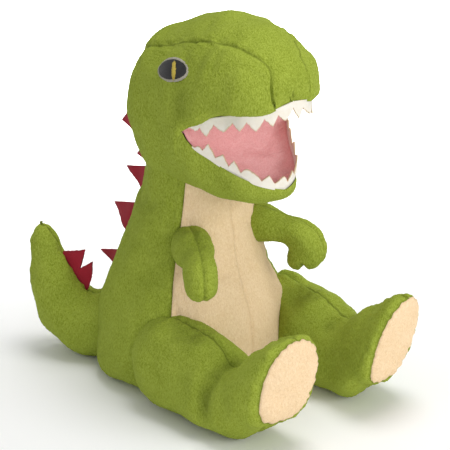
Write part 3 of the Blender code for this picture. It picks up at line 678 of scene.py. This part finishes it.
# %% Head panels
crown_rows = rounded_steps(0.22, 0.15, 210)
side_rows = np.unique(np.append(crown_rows[crown_rows < SNOUT_END], [CHEEK, SNOUT_END]))
back_rows, front_rows = side_rows[side_rows <= CHEEK], side_rows[side_rows >= CHEEK]
JOIN = lip_edge(np.array(CHEEK))  # the angle of the mouth's corners, where side and throat meet
gusset = panel("crown_gusset", head, crown_rows, lambda u: -gusset_edge(u), gusset_edge, 190, depth=0.8)
dress(gusset, GREEN, "green_plush", "head_top_gusset", fill=0.9)
head_things = [gusset]
for word, side in SIDES.items():
    dimples = (
        ((side * 0.052, -0.054, 0.274), (side * 0.056, -0.050, 0.244), 8 * MM, 1.8 * MM),
        ((side * 0.040, -0.068, 0.300), (side * 0.050, -0.066, 0.284), 3.5 * MM, 0.9 * MM),
        ((side * 0.036, -0.080, 0.302), (side * 0.046, -0.079, 0.286), 3.0 * MM, 0.7 * MM),
    )
    cheek = panel(
        f"side_of_head_{word}", head, side_rows, lambda u: side * gusset_edge(u), lambda u: side * lip_edge(u), 150,
        (True, False), folds=dimples, depth=0.8,
    )
    dress(cheek, GREEN, "green_plush", f"head_side_{word}", "head_stuffing", fill=0.9)
    head_things.append(cheek)
THROAT_COLUMNS = 171
throat_sizes = (head, back_rows, flat(JOIN), flat(2 * math.pi - JOIN), THROAT_COLUMNS, (False, False))
throat = panel("throat_panel", *throat_sizes)
dress(throat, GREEN, "green_plush", "head_side_right", "head_side_left", fill=0.9)
head_things.append(throat)
for thing in head_things:
    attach(thing, "head")
print("head:", len(head_things), "panels")

# %% [markdown]
# ## The mouth
# The mouth is lined with pink plush: a roof inside the upper lip and a floor inside the lower
# one, folded against each other at the back. The green chin panel carries on from the cheeks.
# Each lining is a sheet drawn from lip to lip, arched up or sagging like a tongue.


# %% Jaw form
CHEEK_Y = HEAD_BACK - HEAD_LENGTH * CHEEK
JAW_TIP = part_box("chin_panel")[0].y - 0.008  # the lip stands out past the stuffed part of the jaw


def jaw_ring(y, half, centre, rise, chin, x=0):
    return ((CHEEK_Y - y) / (CHEEK_Y - JAW_TIP), (x, y, centre), half, rise, centre - chin, 0, 0)


jaw = Form(
    [
        jaw_ring(CHEEK_Y, HEAD_HALF * 0.98, middle, HEAD_TOP - middle, NECK_Z),
        jaw_ring(-0.0600, 0.0525, 0.2195, 0.0250, NECK_Z + 0.0015),
        jaw_ring(-0.0750, 0.0435, 0.2095, 0.0200, 0.1745, -0.002),
        jaw_ring(-0.0900, 0.0350, 0.2020, 0.0170, 0.1760, -0.003),
        jaw_ring(-0.1020, 0.0285, 0.1970, 0.0150, 0.1775, -0.003),
        jaw_ring(JAW_TIP, 0.0255, 0.1925, 0.0120, 0.1810, -0.003),
    ],
    power=([0, 0.3], [2.3, 2.6]),
    low_power=([0, 0.3], [2.7, 2.4]),
    end_round=0.30,
    blunt=2.4,
)


def lower_lip_edge(u):
    """The lower lip: at the upper lip behind the corner, climbing onto the jaw's top in front."""
    return np.radians(np.interp(u, [0, 0.17, 0.4, 0.7], [91.5, 78, 74, 74]))


jaw_rows = rounded_steps(0, 0.30, 110)
chin = panel(
    "chin_of_plush", jaw, jaw_rows, lower_lip_edge, lambda u: 2 * math.pi - lower_lip_edge(u), THROAT_COLUMNS,
    (False, False), first_row=skin(*throat_sizes)[0][-1],
)
dress(chin, GREEN, "green_plush", "chin_panel", "jaw_stuffing", fill=0.8)


def lining(name, form, rows, edge, bow, across=90):
    """Point(u, s) = mix of the two lip points at u, plus bow(u) * (1 - s^2) up or down."""
    u = rows[:, None]
    s = np.linspace(-1, 1, across)[None, :]
    s = np.sin(s * math.pi / 2)
    left, right = form.point(u, edge(u)), form.point(u, -edge(u))
    lift = (bow(u) * (1 - s**2) ** 0.8)[..., None] * np.array([0, 0, 1.0])
    points = left * ((1 + s) / 2)[..., None] + right * ((1 - s) / 2)[..., None] + lift
    points = points * [0.985, 1, 1]
    way = np.broadcast_to(np.sign(bow(u) * -1)[..., None] * np.array([0, 0, 1.0]), points.shape)
    points = points + np.array([0, 0, 1.0]) * (0.5 * MM * lumps(points, 17 * MM, 8) + 0.15 * MM * lumps(points, 2.6 * MM, 9))[..., None]
    # Painted shade: the lining darkens towards the lips, where it is sewn in.
    gap = (1 - np.abs(s)) * np.linalg.norm(left - right, axis=-1) / 2
    return sheet_mesh(name, points, way, {"painted_shade": 0.6 * np.exp(-((gap / (1.5 * MM)) ** 2))})


def roof_bow(u):
    return 9 * MM * np.clip((u - CHEEK) / 0.1, 0.05, 1) * np.clip((1 - u) / 0.12, 0.02, 1) ** 0.5


def floor_bow(u):
    return -(2 * MM + 7 * MM * np.clip(u / 0.35, 0, 1)) * np.clip((1 - u) / 0.2, 0.02, 1) ** 0.5


roof = lining("roof_of_mouth", head, front_rows[front_rows >= CHEEK + 0.02], lip_edge, roof_bow)
tip_rows = crown_rows[crown_rows >= SNOUT_END - 0.004]
roof_tip = lining("roof_tip", head, tip_rows, lip_edge, roof_bow)
floor = lining("floor_of_mouth", jaw, jaw_rows, lower_lip_edge, floor_bow)
dress(roof, PINK, "pink_plush", "mouth_roof", fill=0.7)
dress(roof_tip, PINK, "pink_plush", "mouth_roof")
dress(floor, PINK, "pink_plush", "mouth_floor", fill=0.7)
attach(roof, "head")
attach(roof_tip, "head")

# %% [markdown]
# ## Felt teeth
# Each jaw has one strip of white felt sewn into its lip, cut by hand into a row of uneven
# teeth. The strip follows the lip, and its free edge is a zigzag worked out from the distance
# along it.


# %% Teeth
def lip_path(form, first, edge, count):
    """Points along a lip from one corner round the front to the other, at even distances."""
    near = np.append(np.linspace(first, 0.9, 60), 1 - 0.1 * (1 - np.linspace(0, 1, 60)[1:]) ** 2)
    u = np.concatenate([near, near[::-1]])
    angle = np.concatenate([-edge(near), edge(near[::-1])])
    points = form.point(u, angle)
    walked = np.append(0, np.cumsum(np.linalg.norm(np.diff(points, axis=0), axis=1)))
    even = np.linspace(0, walked[-1], count)
    return np.stack([np.interp(even, walked, points[:, i]) for i in range(3)], -1), even


def teeth(name, form, first, edge, up, pitch, tall, lean, seed, tuck_in):
    """Point(s, t) = lip(s) + t * height(s) * way(s); height is a zigzag with uneven teeth."""
    base, walked = lip_path(form, first, edge, 700)
    centre = base.mean(axis=0)
    out = (base - centre) * [1, 1, 0]
    out /= np.linalg.norm(out, axis=1)[:, None]
    pick = np.random.default_rng(seed)
    count = round(walked[-1] / pitch)
    marks = np.linspace(0, count, 700) + 0.18 * np.interp(np.linspace(0, count, 700), np.arange(count + 1), pick.normal(size=count + 1))
    whole = np.clip(np.floor(marks).astype(int), 0, count - 1)
    part = marks - whole
    peak = pick.uniform(0.42, 0.62, count)[whole]
    rise = np.where(part < peak, part / peak, (1 - part) / (1 - peak))
    size = pick.uniform(0.82, 1.12, count)[whole]
    ends = np.clip(np.minimum(walked, walked[-1] - walked) / (14 * MM), 0.1, 1)
    height = tall * ends * (0.36 + 0.64 * np.clip(rise, 0, 1) ** 0.92 * size)
    height += 0.25 * MM * lumps(base, 2.2 * MM, seed)
    t = np.linspace(0, 1, 14)[None, :]
    way = np.array([0, 0, 1.0 if up else -1.0]) + out * lean
    way /= np.linalg.norm(way, axis=1)[:, None]
    start = base - out * tuck_in - way * 1.2 * MM
    curl = out[:, None, :] * (0.06 * (height[:, None] * t) ** 2 / tall)[..., None]
    points = start[:, None, :] + way[:, None, :] * ((height + 1.2 * MM)[:, None] * t)[..., None] + curl
    rim = np.clip((t - 0.9) / 0.1, 0, 1) * np.ones_like(height)[:, None]
    thing = sheet_mesh(name, points, np.broadcast_to(out[:, None, :], points.shape), {"rim": rim})
    wall = thing.modifiers.new("felt", "SOLIDIFY")
    wall.thickness, wall.offset = 1.3 * MM, 0
    return thing


upper = teeth("upper_row_of_teeth", head, CHEEK + 0.07, lip_edge, False, 13.5 * MM, 13.0 * MM, -0.02, 11, 0.5 * MM)
lower = teeth("lower_row_of_teeth", jaw, 0.2, lower_lip_edge, True, 12.5 * MM, 11.0 * MM, 0.02, 12, 0.4 * MM)
dress(upper, WHITE_FELT, "white_felt", "upper_teeth")
dress(lower, WHITE_FELT, "white_felt", "lower_teeth")
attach(upper, "head")
for thing in (chin, floor, lower):
    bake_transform(thing)
print("mouth: lined, with", len(upper.data.vertices) + len(lower.data.vertices), "points of felt")

# %% [markdown]
# ## Embroidered eyes
# An eye is three layers of satin stitch: a pale border, a black field and a ragged yellow slit.
# Each layer is a dome on the head's own surface, so it follows the curve of the cheek.


# %% Eyes
def eye_layer(name, side, length, height, lift, crown, ragged, turn, stitch_turn, ahead=0.0):
    """Point(r, a) = head at (y + r cos a length / 2, z + r sin a height / 2), lifted off it."""
    r = np.linspace(0, 1, 22)[:, None]
    a = np.linspace(0, 2 * math.pi, 145)[None, :-1]
    edge = 1 + ragged * lumps(np.stack([np.cos(a), np.sin(a), 0 * a], -1), 0.16, 21)
    along, over = r * edge * np.cos(a) * length / 2, r * edge * np.sin(a) * height / 2
    y = EYE_Y - ahead + along * math.cos(turn) - over * (math.sin(turn) + 0.3)
    z = EYE_Z - along * math.sin(turn) - over * math.cos(turn)
    u = (HEAD_BACK - y) / HEAD_LENGTH
    ring = head.at(u)
    tall = np.clip((z - ring[..., 2]) / ring[..., 4], 0, 1)
    angle = side * np.arccos(tall ** (head.power / 2))
    normals = head.normal(u, angle)
    rise = lift + crown * (1 - r**2) ** 0.5
    points = head.point(u, angle)
    points = points + normals * (rise + uneven(points))[..., None]
    thing = sheet_mesh(name, points, normals, ring=True)
    uv = thing.data.uv_layers.new(name="UVMap")
    corners = np.empty(len(thing.data.loops), int)
    thing.data.loops.foreach_get("vertex_index", corners)
    spots = np.empty(len(thing.data.vertices) * 3)
    thing.data.vertices.foreach_get("co", spots)
    spots = spots.reshape(-1, 3)[corners]
    c, s = math.cos(stitch_turn), math.sin(stitch_turn)
    flat_spots = np.stack([spots[:, 1] * c + spots[:, 2] * s, spots[:, 2] * c - spots[:, 1] * s], -1)
    uv.data.foreach_set("uv", flat_spots.astype(np.float32).ravel())
    return thing


EYE_Y, EYE_Z = -0.0405, HEAD_TOP - 0.032
for word, side in SIDES.items():
    length, height, turn = 33.5 * MM, 17.3 * MM, math.radians(14)
    border = eye_layer(f"border_of_eye_{word}", side, length, height, 0.2 * MM, 1.2 * MM, 0.012, turn, 0.3)
    field = eye_layer(f"field_of_eye_{word}", side, length - 3.6 * MM, height - 3.0 * MM, 0.7 * MM, 1.3 * MM, 0.01, turn, 0.1)
    slit = eye_layer(f"slit_of_eye_{word}", side, 3.4 * MM, height - 4.5 * MM, 1.9 * MM, 0.7 * MM, 0.13, turn, 0.1, 4 * MM)
    dress(border, GREY_THREAD, "grey_thread", f"eye_border_{word}")
    dress(field, BLACK_THREAD, "black_thread", f"eye_field_{word}")
    dress(slit, YELLOW_THREAD, "yellow_thread", f"eye_slit_{word}")
    for thing in (border, field, slit):
        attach(thing, "head")
print("eyes: three layers each")

# %% [markdown]
# ## Arms, legs and tail
# Every limb is a sleeve of two panels with a seam above and one below. Its root sits in the
# body's side. The hands are mittens with one notch, and a foot is closed by a flat cream sole.

# %% Limb helpers
hips = {word: joints[f"leg_lift_{word}"] for word in SIDES}
shoulders = {word: joints[f"arm_swing_{word}"] for word in SIDES}
tail_root = joints["tail_swing"]


def sleeve(names, form, rows, count, **options):
    """Two panels of one form: the half at -X of the ring's top, and the half at +X."""
    return [
        panel(names[0], form, rows, flat(-math.pi), flat(0), count, **options),
        panel(names[1], form, rows, flat(0), flat(math.pi), count, **options),
    ]


# %% Legs
LEG_WIDE, LEG_TALL, LEG_LONG = 0.034, 0.038, 0.128
TOE_OUT, SOLE_LEAN = math.radians(7), math.radians(15)
LEG_SHIFTS = {"right": (0.002, 0.006), "left": (0.005, 0.001)}  # sideways at the hip and at the sole
ANKLE_RISE = {"right": 0.60, "left": 0.74}


def leg_form(side, hip, shifts, ankle_rise):
    length = LEG_LONG + LEG_TALL
    low = hip[2]

    def ring(onward, height, width, rise, fall, yaw, lean):
        place = (hip[0] + np.interp(onward, [0, LEG_LONG], shifts), hip[1] - onward, height)
        return ((onward + LEG_TALL) / length, place, width, rise, fall, side * yaw, lean)

    return Form(
        [
            ring(-LEG_TALL, low, LEG_WIDE * 0.92, LEG_TALL, LEG_TALL, 0, 0),
            ring(0.0, low, LEG_WIDE * 0.92, LEG_TALL, LEG_TALL, 0, 0),
            ring(LEG_LONG * 0.28, low - 0.001, LEG_WIDE * 0.92, LEG_TALL * 0.96, LEG_TALL * 0.97, 0, 0.04),
            ring(LEG_LONG * 0.52, low - 0.004, LEG_WIDE * 0.90, LEG_TALL * ankle_rise, low - 0.007, TOE_OUT * 0.5, 0.10),
            ring(LEG_LONG * 0.74, low + 0.008, LEG_WIDE * 0.92, LEG_TALL * 1.02, low + 0.004, TOE_OUT, 0.18),
            ring(LEG_LONG * 0.93, low + 0.022, LEG_WIDE * 0.89, LEG_TALL * 1.15, LEG_TALL * 1.15, TOE_OUT, SOLE_LEAN),
            ring(LEG_LONG, low + 0.025, LEG_WIDE * 0.80, LEG_TALL * 1.10, LEG_TALL * 1.12, TOE_OUT, SOLE_LEAN),
        ],
        low_power=2.8,
        start_round=LEG_TALL / length,
    )


HALVES = ((-math.pi, 0), (0, math.pi))
for word, side in SIDES.items():
    hip = hips[word]
    leg = leg_form(side, hip, LEG_SHIFTS[word], ANKLE_RISE[word])
    stuff(leg, (0, math.pi), 34, 44, 2.0 * MM, 0.03)
    ankle_y = hip[1] - LEG_LONG * 0.50
    top, bend, low = [
        (hip[0] + side * out, ankle_y, height) for out, height in ((-0.012, 0.058), (0.020, 0.052), (0.031, 0.022))
    ]
    ankle = ((top, bend, 6 * MM, 3.4 * MM), (bend, low, 6 * MM, 3.0 * MM))
    names = (f"leg_{'outer' if side < 0 else 'inner'}_panel_{word}", f"leg_{'inner' if side < 0 else 'outer'}_panel_{word}")
    leg_rows = rounded_steps(leg.start_round, 0, 190)
    things = sleeve(names, leg, leg_rows, 150, folds=ankle, ends=(1.0,))
    for thing, part in zip(things, ("outer", "inner") if side < 0 else ("inner", "outer")):
        dress(thing, GREEN, "green_plush", f"leg_{part}_{word}", f"leg_stuffing_{word}", fill=0.85)
        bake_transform(thing)
    edges = [skin(leg, leg_rows, flat(low), flat(high), 150, ends=(1.0,))[0][-1] for low, high in HALVES]
    rim = np.concatenate([edges[0][:-1], edges[1][:-1]])[None]
    r = np.append(np.linspace(0, 1, 60), [1.0, 1.0])[:, None]
    under = np.array([0.0] * 60 + [0.6, 1.6])[:, None] * MM
    centre = rim.mean(axis=1, keepdims=True)
    onward = np.cross(rim[0, 75] - rim[0, 224], rim[0, 149] - rim[0, 0])
    onward /= np.linalg.norm(onward)
    onward *= -np.sign(onward[1])
    spots = centre + (rim - centre) * (r - under / LEG_TALL * 0.5)[..., None]
    gap = (1 - r) * np.linalg.norm(rim - centre, axis=-1)
    bulge = 3.5 * MM * (1 - r**6) + (0.5 * MM * lumps(spots, 22 * MM, 14) + 0.14 * MM * lumps(spots, 2.6 * MM, 15, 26)) * (1 - r**8)
    # Painted shade: the sole darkens along its seam with the leg.
    sole = sheet_mesh(
        f"sole_of_plush_{word}", spots + onward * (bulge - under)[..., None],
        np.broadcast_to(onward, spots.shape), {"painted_shade": 0.35 * np.exp(-((gap / (1.2 * MM)) ** 2))}, ring=True,
    )
    dress(sole, CREAM, "cream_plush", f"sole_{word}", fill=0.8)
    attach(sole, f"leg_{word}")
print("legs: two panels and a sole each")

# %% Arms
ARM = 0.0150


def arm_form(side, shoulder, drop, spread, reach):
    turn = side * math.radians(30)
    away = np.array([math.sin(turn), -math.cos(turn), 0])

    def ring(share, out, onward, down, width, deep, lean):
        place = shoulder + [side * spread * out, -reach * onward, -drop * down]
        return (share, place, width, deep, deep, turn, lean)

    return Form(
        [
            (0.0, shoulder - away * ARM * 1.2, ARM * 1.10, ARM * 1.05, ARM * 1.20, turn, 0.0),
            ring(0.17, 0.0, 0.0, 0.08, ARM * 1.08, ARM * 1.08, 0.05),
            ring(0.48, 0.55, 0.62, 0.12, ARM * 0.95, ARM * 0.88, 0.35),
            ring(0.70, 0.90, 0.96, 0.36, ARM * 0.90, ARM * 0.95, 1.00),
            ring(0.88, 1.00, 1.05, 0.80, ARM * 0.86, ARM * 1.06, 1.35),
            ring(1.00, 1.00, 1.04, 1.14, ARM * 0.80, ARM * 1.05, 1.45),
        ],
        start_round=0.17,
        end_round=0.11,
    )


def fingers(form, side):
    """Two lobes: near the tip the middle of the hand is pushed back by a bell curve across it."""
    tip, before = form.at(np.array(1.0))[:3], form.at(np.array(0.86))[:3]
    way = (tip - before) / np.linalg.norm(tip - before)

    def shape(points):
        on = (points - tip) @ way
        turn = side * math.radians(30)
        wide = (points - tip) @ np.array([math.cos(turn), math.sin(turn), 0.0])
        deep = (points - tip) @ np.cross(way, [math.cos(turn), math.sin(turn), 0.0])
        near = np.clip((on + 0.013) / 0.013, 0, 1) ** 1.5
        notch = near * np.exp(-((deep / 0.0026) ** 2)) * 0.0085
        return points - way * notch[..., None]

    return shape


ARM_DROP = {"right": 0.026, "left": 0.033}
ARM_REACH = {"right": (0.024, 0.037), "left": (0.018, 0.033)}  # outwards and forwards
for word, side in SIDES.items():
    shoulder = shoulders[word]
    arm = arm_form(side, shoulder, ARM_DROP[word], *ARM_REACH[word])
    stuff(arm, (0, math.pi), 28, 26, 1.2 * MM, 0.03)
    first, second = ("outer", "inner") if side < 0 else ("inner", "outer")
    things = sleeve(
        (f"arm_{first}_panel_{word}", f"arm_{second}_panel_{word}"), arm, rounded_steps(0.17, 0.11, 150), 70,
        depth=0.6, shape=fingers(arm, side),
    )
    for thing, part in zip(things, (first, second)):
        dress(thing, GREEN, "green_plush", f"arm_{part}_{word}", f"arm_stuffing_{word}", fill=0.85)
        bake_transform(thing)
print("arms: two panels each")

# %% Tail
TAIL_YAW, TAIL = math.radians(30), 0.034
tail_back = np.array([-math.sin(TAIL_YAW), math.cos(TAIL_YAW), 0.0])


def tail_ring(share, out, height, width, lean):
    return (share, tail_root + tail_back * out + [0, 0, height], TAIL * width, TAIL * width, TAIL * width, TAIL_YAW, lean)


tail = Form(
    [
        tail_ring(0.00, -TAIL * 0.84, 0, 0.84, 0.0),
        tail_ring(0.20, 0.000, 0, 0.86, 0.0),
        tail_ring(0.36, 0.022, -0.001, 0.83, 0.25),
        tail_ring(0.56, 0.042, 0.010, 0.76, 0.80),
        tail_ring(0.74, 0.053, 0.035, 0.60, 1.35),
        tail_ring(0.88, 0.060, 0.059, 0.42, 1.45),
        tail_ring(1.00, 0.065, 0.082, 0.24, 1.50),
    ],
    start_round=0.20,
    end_round=0.08,
)
stuff(tail, (0, math.pi), 34, 40, 1.8 * MM, 0.03)
tail_things = sleeve(("tail_panel_left", "tail_panel_right"), tail, rounded_steps(0.20, 0.08, 190), 130)
for thing, word in zip(tail_things, ("left", "right")):
    dress(thing, GREEN, "green_plush", f"tail_{word}", "tail_stuffing", fill=0.85)
for thing in tail_things:
    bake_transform(thing)
print("tail: two panels")

# %% [markdown]
# ## Felt spikes
# The spikes are triangles of dark red felt caught in the back seams. Each strip is a sheet in
# the seam's plane: one way along the seam, the other out to the zigzag edge.


# %% Spikes
def spikes(name, base, away, places, reach, seed):
    """Point(s, t) = base(s) + t * out(s) * away; out is a zigzag of tips and valleys along s."""
    way = np.array(away, float)
    way /= np.linalg.norm(way)
    s = np.linspace(places[0], places[-1], 260)
    line = base(s)
    out = np.interp(s, *zip(*sorted(zip(places, reach)))) * MM
    t = np.linspace(0, 1, 30)[None, :, None]
    points = line[:, None, :] + way * (out[:, None, None] * t - 2.0 * MM * (1 - t))
    side = np.cross(line[-1] - line[0], way)
    side /= np.linalg.norm(side)
    points = points + side * (0.9 * MM * lumps(points, 26 * MM, seed) * t[..., 0])[..., None]
    points = points + way * (0.25 * MM * lumps(points, 2.4 * MM, seed + 1) * t[..., 0])[..., None]
    rim = np.broadcast_to(np.clip((t[..., 0] - 0.95) / 0.05, 0, 1), points.shape[:2])
    thing = sheet_mesh(name, points, np.broadcast_to(side, points.shape), {"rim": rim})
    wall = thing.modifiers.new("felt", "SOLIDIFY")
    wall.thickness, wall.offset = 1.6 * MM, 0
    return dress(thing, RED_FELT, "red_felt", name.replace("_of_felt", ""))


def nape(z):
    """An upright line inside the back of the head, where its strip is sewn in."""
    return np.stack([0 * z, 0 * z + HEAD_BACK - 7 * MM, z], -1)


back_strip = spikes(
    "back_spikes_of_felt", lambda s: body.point(s, math.pi), (0, 1, 0),
    (0.29, 0.41, 0.49, 0.70, 0.77, 0.925, 0.99), (0, 49, 2, 48, 9, 44, 0), 31,
)
head_strip = spikes(
    "head_spikes_of_felt", nape, (0, 1, 0), (0.165, 0.171, 0.182, 0.196, 0.255), (4, 38, 24, 56, 4), 33
)
tail_strip = spikes(
    "tail_spikes_of_felt", lambda s: tail.point(s, 0), (tail_back[0] * -0.5, tail_back[1] * -0.5, 0.87),
    (0.56, 0.695, 0.745, 0.775, 0.87), (0, 22, 7, 22, 0), 35,
)
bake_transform(back_strip)
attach(head_strip, "head")
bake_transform(tail_strip)

# %% [markdown]
# ## Floor, light and camera
# A plain white sweep and soft lights overhead, in front and beside the camera give the light of a studio table:
# bright from above and from the front, dark behind. The camera stands in front of the toy's right side and looks a little down on it.

# %% Studio
floor_material, tree = start_material("white paper sweep")
paper = add_node(tree, "ShaderNodeBsdfPrincipled", Base_Color=paint("#fbfbfb"), Roughness=0.9)
paper.inputs["Specular IOR Level"].default_value = 0.1
finish_material(tree, paper)
r = np.linspace(0, 1, 40)[:, None]
a = np.linspace(0, 2 * math.pi, 65)[None, :-1]
sweep_points = np.stack([3 * r * np.cos(a), 3 * r * np.sin(a), 0 * r * a - 0.0004], -1)
sweep = sheet_mesh("sweep", sweep_points, np.zeros_like(sweep_points) + [0, 0, 1.0], ring=True)
sweep.data.materials.append(floor_material)

world = bpy.data.worlds.new("pale room")
world.use_nodes = True
surround = world.node_tree.nodes["Background"]
surround.inputs["Color"].default_value = (1, 1, 1, 1)
surround.inputs["Strength"].default_value = 0.48
bpy.context.scene.world = world


def soft_light(name, place, aim, size, power):
    lamp = bpy.data.lights.new(name, "AREA")
    lamp.shape, lamp.size, lamp.energy = "DISK", size, power
    thing = bpy.data.objects.new(name, lamp)
    bpy.context.scene.collection.objects.link(thing)
    thing.location = place
    thing.rotation_euler = (Vector(aim) - Vector(place)).to_track_quat("-Z", "Y").to_euler()
    return thing


toy_middle = ((cad_low + cad_high) / 2)[:]
soft_light("overhead", (0.2, -0.2, 1.9), toy_middle, 1.0, 15)
soft_light("front", (0.3, -1.8, 0.8), toy_middle, 0.9, 12)
soft_light("side", (-0.9, -1.6, 0.6), toy_middle, 1.0, 5)
backdrop = soft_light("backdrop", (0.6, 0.7, 1.3), (0.75, 0.85, 0), 0.9, 16)
backdrop.data.spread = math.radians(75)

camera = bpy.data.cameras.new("camera")
camera.lens, camera.sensor_width = 217.4, 36
viewer = bpy.data.objects.new("camera", camera)
bpy.context.scene.collection.objects.link(viewer)
turn, raise_up, distance = math.radians(-42), math.radians(22), 2.2
target = np.array([0.001, -0.043, 0.139])
back = np.array([math.sin(turn) * math.cos(raise_up), -math.cos(turn) * math.cos(raise_up), math.sin(raise_up)])
viewer.location = target + back * distance
viewer.rotation_euler = (math.pi / 2 - raise_up, 0, turn)
camera.clip_start, camera.clip_end = 0.05, 20
bpy.context.scene.camera = viewer
bpy.context.scene.view_settings.view_transform = "Standard"
